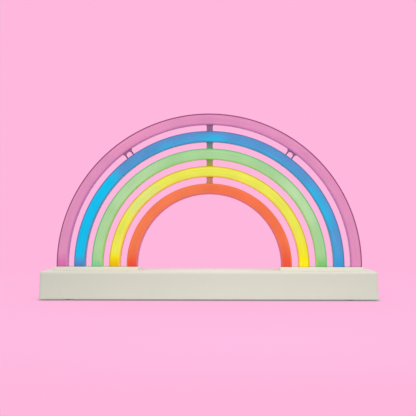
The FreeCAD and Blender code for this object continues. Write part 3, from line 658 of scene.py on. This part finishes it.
def lead_finish(name, front, back):
    """Smooth jacket of a lead: one shade in front of the middle, another one behind it."""
    finish = Finish(name)
    x, y, z = finish.split(finish.spot())
    scuff = finish.noise(finish.spot(), 1.5 * MM, 3.0)
    shade = finish.mix(paint(front), paint(back), y.above(0.0, 0.1 * MM))
    finish.set(base_color=finish.scaled(shade, 0.9 + 0.2 * scuff), roughness=0.38 + 0.2 * scuff)
    finish.grain(scuff, strength=0.08, depth=0.05 * MM)
    return finish.material


def cell_finish():
    """Wrapped cell: blue-grey sleeve with a narrow pale band at the nub's end, bare metal caps."""
    colours = bpy.context.scene.lamp_colours
    finish = Finish("cell_case")
    x, y, z = finish.split(finish.spot())
    middle_cell = abs(y).below(cell_radius + 0.25 * MM, 0.05 * MM)
    towards_nub = x * (1 - 2 * middle_cell)
    band = towards_nub.above(cells_high.x - BAND_WIDTH, 0.15 * MM)
    beside = abs(y) - (1 - middle_cell) * outer_cell_y
    from_axis = distance(z - cell_axis_z, beside)
    bare = from_axis.below(cell_radius - SLEEVE_FOLD, 0.1 * MM)
    brush = finish.noise(finish.joined(x * 0.1, y, z), 0.7 * MM, 3.0)
    sleeve = finish.mix(paint(colours.cell_sleeve), paint(colours.cell_band), band)
    shade = finish.mix(finish.scaled(sleeve, 0.92 + 0.14 * brush), paint(colours.cell_cap), bare)
    finish.set(base_color=shade, metallic=0.25 + 0.75 * bare, roughness=0.34 + 0.1 * brush - 0.06 * bare)
    finish.grain(brush, strength=0.08, depth=0.04 * MM)
    return finish.material


def board_finish():
    """Green board with paler tracks."""
    colours = bpy.context.scene.lamp_colours
    finish = Finish("board_green")
    spot = finish.spot()
    tracks = finish.node("ShaderNodeTexBrick", {"offset": 0.35, "squash": 1.0},
                         {"Vector": spot, "Scale": 1.0, "Mortar Size": BOARD_TRACK,
                          "Mortar Smooth": 0.1, "Brick Width": BOARD_COLUMN,
                          "Row Height": BOARD_ROW, "Color1": grey(0.0), "Color2": grey(0.0),
                          "Mortar": grey(1.0)}, "Fac")
    weave = finish.noise(spot, 0.8 * MM)
    shade = finish.mix(paint(colours.board), paint(colours.board_track), tracks)
    finish.set(base_color=finish.scaled(shade, 0.9 + 0.2 * weave), roughness=0.32 + 0.15 * weave)
    finish.grain(tracks + 0.2 * weave, strength=0.15, depth=0.05 * MM)
    return finish.material


# Making a piece

def add_piece(name, mesh_in_work, material, body, replaced):
    """Makes a finished piece that rides on a body and stands for its CAD nodes."""
    bmesh.ops.remove_doubles(mesh_in_work, verts=mesh_in_work.verts, dist=MERGE_DISTANCE)
    bmesh.ops.recalc_face_normals(mesh_in_work, faces=mesh_in_work.faces)
    mesh = bpy.data.meshes.new(name)
    mesh_in_work.to_mesh(mesh)
    mesh_in_work.free()
    if not mesh.polygons:
        raise RuntimeError(name + " has no faces")
    mesh.shade_smooth()
    mesh.set_sharp_from_angle(angle=SHARP_ANGLE)
    mesh.materials.append(material)
    piece = bpy.data.objects.new(name, mesh)
    bpy.context.scene.collection.objects.link(piece)
    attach(piece, body)
    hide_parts(*replaced)


def dress(material, *nodes):
    """Gives CAD nodes a finished material."""
    for node in nodes:
        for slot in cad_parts[node].material_slots:
            slot.material = material


def drawn_face(work, corners):
    """A flat face through (point, rounding) corners, with the rounded ones bevelled."""
    verts = [work.verts.new(point) for point, rounding in corners]
    work.faces.new(verts)
    for rounding in sorted({rounding for point, rounding in corners if rounding}):
        rounded = [vert for vert, (point, size) in zip(verts, corners) if size == rounding]
        bmesh.ops.bevel(work, geom=rounded, offset=rounding, offset_type="OFFSET", affect="VERTICES",
                        segments=CORNER_SEGMENTS, profile=0.5, material=-1)
    return work.faces[:]


def extruded(work, faces, shift):
    """Pushes faces along a vector. A face on its own leaves one behind, the end of a solid doesn't."""
    edges = list(dict.fromkeys(edge for face in faces for edge in face.edges))
    made = bmesh.ops.extrude_face_region(work, geom=faces + edges)["geom"]
    verts = [item for item in made if isinstance(item, bmesh.types.BMVert)]
    bmesh.ops.translate(work, vec=shift, verts=verts)


def along_arch(corners):
    """A section led over the half circle and down both legs, from (radius, y, rounding) corners."""
    work = bmesh.new()
    section = drawn_face(work, [(Vector((radius, y, arch_centre.z)), rounding)
                                for radius, y, rounding in corners])
    bmesh.ops.spin(work, geom=section + work.edges[:] + work.verts[:], cent=arch_centre, axis=(0, -1, 0),
                   angle=math.pi, steps=bpy.context.scene.lamp_sizes.arch_steps, use_merge=False,
                   use_duplicate=False)
    # Only the two end sections have more than four corners
    ends = [face for face in work.faces if len(face.verts) > 4]
    extruded(work, ends, Vector((0, 0, leg_bottom - arch_centre.z)))
    return work


def turned(work, points, centre, axis, steps):
    """A solid turned from a line of points that starts and ends on its axis."""
    verts = [work.verts.new(point) for point in points]
    edges = [work.edges.new(pair) for pair in zip(verts[:-1], verts[1:])]
    bmesh.ops.spin(work, geom=verts + edges, cent=centre, axis=axis, angle=2 * math.pi, steps=steps,
                   use_merge=True, use_duplicate=False)


def rounded_rims(work, size):
    """Rounds every edge where two faces meet sharply."""
    sharp = [edge for edge in work.edges
             if edge.is_manifold and edge.calc_face_angle() > SHARP_ANGLE]
    bmesh.ops.bevel(work, geom=sharp, offset=size, offset_type="OFFSET", affect="EDGES",
                    segments=RIM_SEGMENTS, profile=0.5, material=-1, clamp_overlap=True)


class LAMP_OT_diffusers(Operator):
    """Make the five coloured diffusers, the lit fronts of the arches"""
    bl_idname = "lamp.diffusers"
    bl_label = "Make Diffusers"

    def execute(self, context):
        sizes = context.scene.lamp_sizes
        crown_y = tube_front + sizes.tube_crown
        cavity_y = tube_front + sizes.front_wall
        for name in ARCHES:
            outer = outer_radii[name]
            inner = outer - sizes.tube_width
            middle = (outer + inner) / 2
            corners = ((outer, seam_y, 0), (outer, crown_y, sizes.front_edge), (middle, tube_front, 0),
                       (inner, crown_y, sizes.front_edge), (inner, seam_y, 0),
                       (inner + sizes.side_wall, seam_y, 0), (inner + sizes.side_wall, cavity_y, 0),
                       (outer - sizes.side_wall, cavity_y, 0), (outer - sizes.side_wall, seam_y, 0))
            add_piece(name + "_diffuser", along_arch(corners), diffuser_finish(name), "lamp",
                      [name + "_arch_front"])
        return {"FINISHED"}


class LAMP_OT_back_bars(Operator):
    """Make the clear bars that close the arches from behind"""
    bl_idname = "lamp.back_bars"
    bl_label = "Make Back Bars"

    def execute(self, context):
        sizes = context.scene.lamp_sizes
        colours = context.scene.lamp_colours
        smoky = Vector(colours.smoky)
        for name in ARCHES:
            outer = outer_radii[name]
            inner = outer - sizes.tube_width
            inner_lip = inner + sizes.side_wall + sizes.lip_gap
            outer_lip = outer - sizes.side_wall - sizes.lip_gap
            corners = ((outer, seam_y, 0), (outer, tube_back, sizes.rear_edge),
                       (inner, tube_back, sizes.rear_edge), (inner, seam_y, 0),
                       (inner_lip, seam_y, 0), (inner_lip, lip_front, 0),
                       (outer_lip, lip_front, 0), (outer_lip, seam_y, 0))
            face = Vector(getattr(colours, name + "_face"))
            shade = smoky.lerp(face, BAR_TINT) * BAR_SHADE
            far_shade = smoky.lerp(face, BAR_FAR_TINT)
            finish = clear_finish(name + "_back_bar", shade, far_shade, inner, (inner + outer) / 2,
                                  BAR_SOLID)
            add_piece(name + "_back_bar", along_arch(corners), finish, "lamp",
                      [name + "_arch_rear"])
        return {"FINISHED"}


class LAMP_OT_links(Operator):
    """Make the four links at the top, one in each gap between two arches"""
    bl_idname = "lamp.links"
    bl_label = "Make Links"

    def execute(self, context):
        sizes = context.scene.lamp_sizes
        colours = context.scene.lamp_colours
        half = sizes.link_width / 2
        flare = sizes.link_flare
        hollow = flare * 0.6
        for outer, inner in zip(ARCHES[:-1], ARCHES[1:]):
            low = outer_radii[inner] + sizes.joint_gap
            high = outer_radii[outer] - sizes.tube_width - sizes.joint_gap
            right = ((half + flare, low, 0), (half, low + flare, hollow), (half, high - flare, hollow),
                     (half + flare, high, 0))
            left = tuple((-x, radius, rounding) for x, radius, rounding in reversed(right))
            work = bmesh.new()
            faces = drawn_face(work, [(Vector((x, link_low.y, arch_centre.z + radius)), rounding)
                                      for x, radius, rounding in right + left])
            extruded(work, faces, Vector((0, link_high.y - link_low.y, 0)))
            rounded_rims(work, sizes.link_edge)
            name = outer + "_" + inner
            shade = Vector(getattr(colours, name))
            # Painted light: the link takes more of the outer arch's colour towards that arch
            far_shade = shade.lerp(Vector(getattr(colours, outer + "_face")), LINK_ARCH_LIGHT)
            finish = clear_finish(name + "_bridge", shade, far_shade, low, high, LINK_SOLID)
            add_piece(name + "_bridge", work, finish, "lamp", [name + "_link"])
        return {"FINISHED"}


class LAMP_OT_hanging_eyes(Operator):
    """Make the two hanging eyes between the pink and the blue arch"""
    bl_idname = "lamp.hanging_eyes"
    bl_label = "Make Hanging Eyes"

    def execute(self, context):
        sizes = context.scene.lamp_sizes
        colours = context.scene.lamp_colours
        low = outer_radii["blue"] + sizes.joint_gap
        high = outer_radii["pink"] - sizes.tube_width - sizes.joint_gap
        sill = low + sizes.eye_sill
        top = sill + sizes.eye_height
        half = sizes.eye_half_width + sizes.eye_leg
        right_half = ((0, low, 0), (half, low, 0), (half, high - sizes.eye_flare, sizes.eye_flare / 2),
                      (half + sizes.eye_flare, high, 0), (0, high, 0), (0, top, 0),
                      (sizes.eye_half_width, top, sizes.eye_upper_round),
                      (sizes.eye_half_width, sill, sizes.eye_lower_round), (0, sill, 0))
        # Painted shade darkens the smoky plastic, and painted pink light from the pink arch tints it towards
        # that arch
        shade = Vector(colours.smoky) * EYE_PAINTED_SHADE
        far_shade = shade.lerp(Vector(colours.pink_inner), EYE_PINK_LIGHT)
        finish = clear_finish("smoky_eye", shade, far_shade, top - sizes.eye_upper_round, high,
                              EYE_SOLID)
        for side, sign in (("left", -1), ("right", 1)):
            work = bmesh.new()
            drawn_face(work, [(Vector((x, seam_y, arch_centre.z + radius)), rounding)
                              for x, radius, rounding in right_half])
            bmesh.ops.mirror(work, geom=work.verts[:] + work.edges[:] + work.faces[:], axis="X",
                             merge_dist=MERGE_DISTANCE)
            bmesh.ops.recalc_face_normals(work, faces=work.faces)
            extruded(work, work.faces[:], Vector((0, tube_back - seam_y, 0)))
            bmesh.ops.recalc_face_normals(work, faces=work.faces)
            rounded_rims(work, sizes.eye_edge)
            bmesh.ops.rotate(work, cent=arch_centre, matrix=Matrix.Rotation(sign * sizes.eye_angle, 3, "Y"),
                             verts=work.verts)
            add_piece(side + "_eye", work, finish, "lamp", [side + "_hanging_eye"])
        return {"FINISHED"}


class LAMP_OT_light_strips(Operator):
    """Dress the light strips and their chips inside the arches"""
    bl_idname = "lamp.light_strips"
    bl_label = "Dress Light Strips"

    def execute(self, context):
        for name in ARCHES:
            dress(strip_finish(name), name + "_led_strip")
            dress(chip_finish(name), name + "_led_chips")
        return {"FINISHED"}


class LAMP_OT_base(Operator):
    """Dress the cream housing, the bottom cover, the battery door and their steel parts"""
    bl_idname = "lamp.base"
    bl_label = "Dress Base"

    def execute(self, context):
        dress(cream_finish(), "base_housing", "bottom_cover", "battery_door")
        steel = metal_finish("zinc_steel", context.scene.lamp_colours.steel, roughness=0.34, spots=2.0 * MM)
        dress(steel, "cover_screws", "board_screws", "retaining_rods")
        return {"FINISHED"}


class LAMP_OT_foot_pads(Operator):
    """Make the four rubber feet with their ring treads"""
    bl_idname = "lamp.foot_pads"
    bl_label = "Make Foot Pads"

    def execute(self, context):
        sizes = context.scene.lamp_sizes
        radius = sizes.foot_radius
        profile = [(share * radius, grooved * sizes.foot_groove) for share, grooved in FOOT_TREAD]
        profile += [(radius, sizes.foot_slope), (radius, feet_high.z), (0.0, feet_high.z)]
        work = bmesh.new()
        for x in (feet_low.x + radius, feet_high.x - radius):
            for y in (feet_low.y + radius, feet_high.y - radius):
                points = [(x + reach, y, z) for reach, z in profile]
                turned(work, points, (x, y, 0), (0, 0, 1), FOOT_STEPS)
        rubber = plain_finish("foot_rubber", context.scene.lamp_colours.rubber, roughness=0.72,
                              spots=1.2 * MM, variation=0.10, relief=0.3, alpha=FOOT_SOLID)
        add_piece("foot_pads", work, rubber, "lamp", ["rubber_feet"])
        return {"FINISHED"}


class LAMP_OT_cells(Operator):
    """Make the three wrapped cells and the wound springs behind them, and dress the contacts"""
    bl_idname = "lamp.cells"
    bl_label = "Make Cells And Springs"

    def execute(self, context):
        colours = context.scene.lamp_colours
        self.make_cells(context.scene.lamp_sizes)
        self.make_springs(context.scene.lamp_sizes, colours)
        metal = metal_finish("contact_metal", colours.nickel, roughness=0.26, spots=1.5 * MM)
        dress(metal, "battery_contacts", "power_socket_pin")
        return {"FINISHED"}

    def make_cells(self, sizes):
        """Cells turned from one profile, with rounded shoulders and a nub."""
        groove = sizes.cell_groove
        tail = cells_low.x + sizes.spring_length
        shoulder = cells_high.x - sizes.nub_height
        profile = [(tail + sunk * groove, share * cell_radius) for share, sunk in CELL_TAIL]
        profile += [(shoulder - sunk * groove, share * cell_radius) for share, sunk in CELL_HEAD]
        profile += [(shoulder - groove, sizes.nub_radius), (cells_high.x, sizes.nub_radius),
                    (cells_high.x, 0.0)]
        work = bmesh.new()
        for y, side in cell_rows:
            points = [(side * x, y, cell_axis_z + reach) for x, reach in profile]
            turned(work, points, (0, y, cell_axis_z), (1, 0, 0), CELL_STEPS)
        bmesh.ops.remove_doubles(work, verts=work.verts, dist=MERGE_DISTANCE)
        shoulders = [edge for edge in work.edges
                     if edge.is_manifold and edge.calc_face_angle() > SHOULDER_ANGLE
                     and all(self.on_rim(vert.co) for vert in edge.verts)]
        bmesh.ops.bevel(work, geom=shoulders, offset=sizes.cell_shoulder, offset_type="OFFSET",
                        affect="EDGES", segments=SHOULDER_SEGMENTS, profile=0.5, material=-1)
        add_piece("wrapped_cells", work, cell_finish(), "lamp", ["battery_cells"])

    @staticmethod
    def on_rim(point):
        """Whether a point lies as far from the axis of its cell as the sleeve does."""
        reach = min(math.hypot(point.y - y, point.z - cell_axis_z) for y, side in cell_rows)
        return abs(reach - cell_radius) < MERGE_DISTANCE

    def make_springs(self, sizes, colours):
        """Cone springs: a ring of wire led round a helix and drawn in towards its cell."""
        middle_z = (springs_low.z + springs_high.z) / 2
        wire = sizes.spring_wire / 2
        wide = (springs_high.z - springs_low.z) / 2 - wire
        narrow = sizes.spring_narrow - wire
        steps = TURN_STEPS * sizes.spring_turns
        work = bmesh.new()
        for y, side in cell_rows:
            start = -side * (springs_high.x - wire)
            rise = side * (sizes.spring_length - 2 * wire) / steps
            upright = Matrix.Translation((start, y, middle_z + wide)) @ Matrix.Rotation(math.pi / 2, 4, "X")
            first = len(work.verts)
            ring = bmesh.ops.create_circle(work, cap_ends=True, segments=WIRE_SIDES, radius=wire,
                                           matrix=upright)["verts"]
            faces = [face for face in work.faces if all(vert in ring for vert in face.verts)]
            edges = list(dict.fromkeys(edge for face in faces for edge in face.edges))
            bmesh.ops.spin(work, geom=ring + edges + faces, cent=(start, y, middle_z), axis=(1, 0, 0),
                           dvec=(rise, 0, 0), angle=2 * math.pi * sizes.spring_turns, steps=steps,
                           use_merge=False, use_duplicate=False)
            work.verts.ensure_lookup_table()
            for vert in work.verts[first:]:
                share = abs(vert.co.x - start) / sizes.spring_length
                drawn_in = 1 + (narrow / wide - 1) * share
                vert.co.y = y + (vert.co.y - y) * drawn_in
                vert.co.z = middle_z + (vert.co.z - middle_z) * drawn_in
        finish = metal_finish("spring_wire", colours.spring_wire, roughness=0.24, spots=1.0 * MM)
        add_piece("wound_springs", work, finish, "lamp", ["battery_springs"])


class LAMP_OT_electrics(Operator):
    """Dress the board, its parts, the switch, the power socket and the leads"""
    bl_idname = "lamp.electrics"
    bl_label = "Dress Electrics"

    def execute(self, context):
        colours = context.scene.lamp_colours
        black = plain_finish("black_plastic", colours.black, roughness=0.48, spots=1.6 * MM,
                             variation=0.2)
        knob = plain_finish("switch_knob", colours.knob, roughness=0.42, spots=0.8 * MM,
                            variation=0.2)
        dress(board_finish(), "circuit_board")
        dress(black, "board_components", "lead_connector", "switch_body", "power_socket")
        dress(knob, "switch_slider")
        dress(lead_finish("strip_leads", colours.pale_jacket, colours.pale_jacket), "led_leads")
        dress(lead_finish("battery_leads", colours.black_jacket, colours.red_jacket), "battery_leads")
        return {"FINISHED"}


class LAMP_OT_stage(Operator):
    """Set the floor, the background, the lights and the camera"""
    bl_idname = "lamp.stage"
    bl_label = "Set Stage"

    def execute(self, context):
        stage = context.scene.lamp_stage
        backdrop = paint(context.scene.lamp_colours.backdrop)
        self.set_floor(stage, backdrop, context.scene.lamp_sizes.foot_radius)
        self.set_world(stage, backdrop)
        self.set_lights(stage)
        self.set_camera(stage)
        context.scene.view_settings.view_transform = "Standard"
        return {"FINISHED"}

    @staticmethod
    def seen(graph):
        """1 where the camera looks, straight or through glass or a reflection, and 0 for light."""
        path = graph.node("ShaderNodeLightPath")
        seen = graph.maths("MAXIMUM", path.output("Is Camera Ray"), path.output("Is Glossy Ray"))
        return graph.maths("MAXIMUM", seen, path.output("Is Transmission Ray"))

    def set_floor(self, stage, backdrop, foot_radius):
        """Floor in the backdrop's colour, with a flat grey painted shadow in the gap under the base, lighter
        beside the feet, and a weak shadow round it.
        """
        work = bmesh.new()
        bmesh.ops.create_grid(work, x_segments=1, y_segments=1, size=FLOOR_REACH)
        mesh = bpy.data.meshes.new("floor")
        work.to_mesh(mesh)
        work.free()
        finish = Finish("floor")
        mesh.materials.append(finish.material)
        floor = bpy.data.objects.new("floor", mesh)
        bpy.context.scene.collection.objects.link(floor)

        x, y, z = finish.split(finish.spot())
        # Painted shadow: flat grey in the gap under the base, with a lighter grey painted beside the feet
        beside = abs(x).fade(housing_high.x + GAP_MARGIN, housing_high.x)
        behind = abs(y).fade(housing_high.y - GAP_START, housing_high.y - GAP_FULL)
        under = beside * behind
        from_foot = abs(abs(x) - (feet_high.x - foot_radius))
        gap = finish.mix(grey(GAP_SHADOW_GREY), grey(GAP_FOOT_PAINTED_LIGHT), from_foot.below(4 * MM, 1 * MM))
        near = distance(x, y).fade(SHADE_FAR, SHADE_NEAR)
        seen = self.seen(finish)
        shown = finish.mix(grey(stage.floor_bounce), backdrop, seen * (1 - under))
        finish.set(base_color=shown, roughness=0.9, specular_ior_level=0.0)
        flat = finish.node("ShaderNodeEmission", sockets={"Color": finish.mix(backdrop, gap, under),
                                                          "Strength": 1.0})
        lit = Wire(finish, finish.shader.outputs[0])
        flat_share = seen * (1 - FLOOR_SHADE * near)
        surface = finish.node("ShaderNodeMixShader", sockets={0: flat_share, 1: lit, 2: flat})
        finish.feed(finish.tree.nodes["Material Output"].inputs["Surface"], surface)

    def set_world(self, stage, backdrop):
        """Even neutral light, with the backdrop's colour where the camera looks."""
        world = bpy.data.worlds.new("studio")
        world.use_nodes = True
        bpy.context.scene.world = world
        graph = Graph(world.node_tree)
        light = graph.node("ShaderNodeBackground",
                           sockets={"Color": grey(1.0), "Strength": stage.world_light})
        shown = graph.node("ShaderNodeBackground", sockets={"Color": backdrop, "Strength": 1.0})
        surface = graph.node("ShaderNodeMixShader", sockets={0: self.seen(graph), 1: light, 2: shown})
        graph.feed(world.node_tree.nodes["World Output"].inputs["Surface"], surface)

    def set_lights(self, stage):
        """A soft key light from the front and above, and a near one in front."""
        key_lamp = bpy.data.lights.new("key", "SUN")
        key_lamp.energy = stage.key_light
        key_lamp.angle = KEY_SPREAD
        key = bpy.data.objects.new("key", key_lamp)
        key.rotation_euler = KEY_DIRECTION.to_track_quat("-Z", "Y").to_euler()
        bpy.context.scene.collection.objects.link(key)
        side_lamp = bpy.data.lights.new("side", "AREA")
        side_lamp.energy = stage.side_light
        side_lamp.size = SIDE_SIZE
        side = bpy.data.objects.new("side", side_lamp)
        side.location = SIDE_PLACE
        towards = SIDE_TARGET - SIDE_PLACE
        side.rotation_euler = towards.to_track_quat("-Z", "Y").to_euler()
        side.visible_camera = False
        side.visible_glossy = False
        bpy.context.scene.collection.objects.link(side)

    def set_camera(self, stage):
        """Camera in front of the lamp and a little to its right, with a slight lean to its left."""
        lens = bpy.data.cameras.new("camera")
        lens.lens = stage.camera_lens
        lens.sensor_width = SENSOR_WIDTH
        lens.shift_x = stage.camera_shift
        camera = bpy.data.objects.new("camera", lens)
        camera.location = (stage.camera_side, housing_low.y - stage.camera_distance, stage.camera_height)
        camera.rotation_euler = (math.pi / 2, stage.camera_roll, 0.0)
        bpy.context.scene.collection.objects.link(camera)
        bpy.context.scene.camera = camera


class LAMP_PT_sidebar(Panel):
    """Sizes, colours and steps of the lamp"""
    bl_idname = "LAMP_PT_sidebar"
    bl_label = "Rainbow Arch Lamp"
    bl_space_type = "VIEW_3D"
    bl_region_type = "UI"
    bl_category = "Lamp"

    def draw(self, context):
        layout = self.layout
        for operator in OPERATORS:
            layout.operator(operator.bl_idname)
        for group_name in GROUPS:
            group = getattr(context.scene, group_name)
            box = layout.box()
            for name in type(group).__annotations__:
                box.prop(group, name)


OPERATORS = (LAMP_OT_diffusers, LAMP_OT_back_bars, LAMP_OT_links, LAMP_OT_hanging_eyes, LAMP_OT_light_strips,
             LAMP_OT_base, LAMP_OT_foot_pads, LAMP_OT_cells, LAMP_OT_electrics, LAMP_OT_stage)
GROUPS = {"lamp_sizes": LampSizes, "lamp_colours": LampColours, "lamp_stage": LampStage}


def register():
    for group in GROUPS.values():
        bpy.utils.register_class(group)
    for name, group in GROUPS.items():
        setattr(bpy.types.Scene, name, PointerProperty(type=group))
    for kind in OPERATORS + (LAMP_PT_sidebar,):
        bpy.utils.register_class(kind)


def unregister():
    for kind in (LAMP_PT_sidebar,) + OPERATORS[::-1]:
        bpy.utils.unregister_class(kind)
    for name, group in GROUPS.items():
        delattr(bpy.types.Scene, name)
        bpy.utils.unregister_class(group)


def main():
    register()
    bpy.ops.lamp.diffusers()
    bpy.ops.lamp.back_bars()
    bpy.ops.lamp.links()
    bpy.ops.lamp.hanging_eyes()
    bpy.ops.lamp.light_strips()
    bpy.ops.lamp.base()
    bpy.ops.lamp.foot_pads()
    bpy.ops.lamp.cells()
    bpy.ops.lamp.electrics()
    bpy.ops.lamp.stage()


if __name__ == "__main__":
    main()
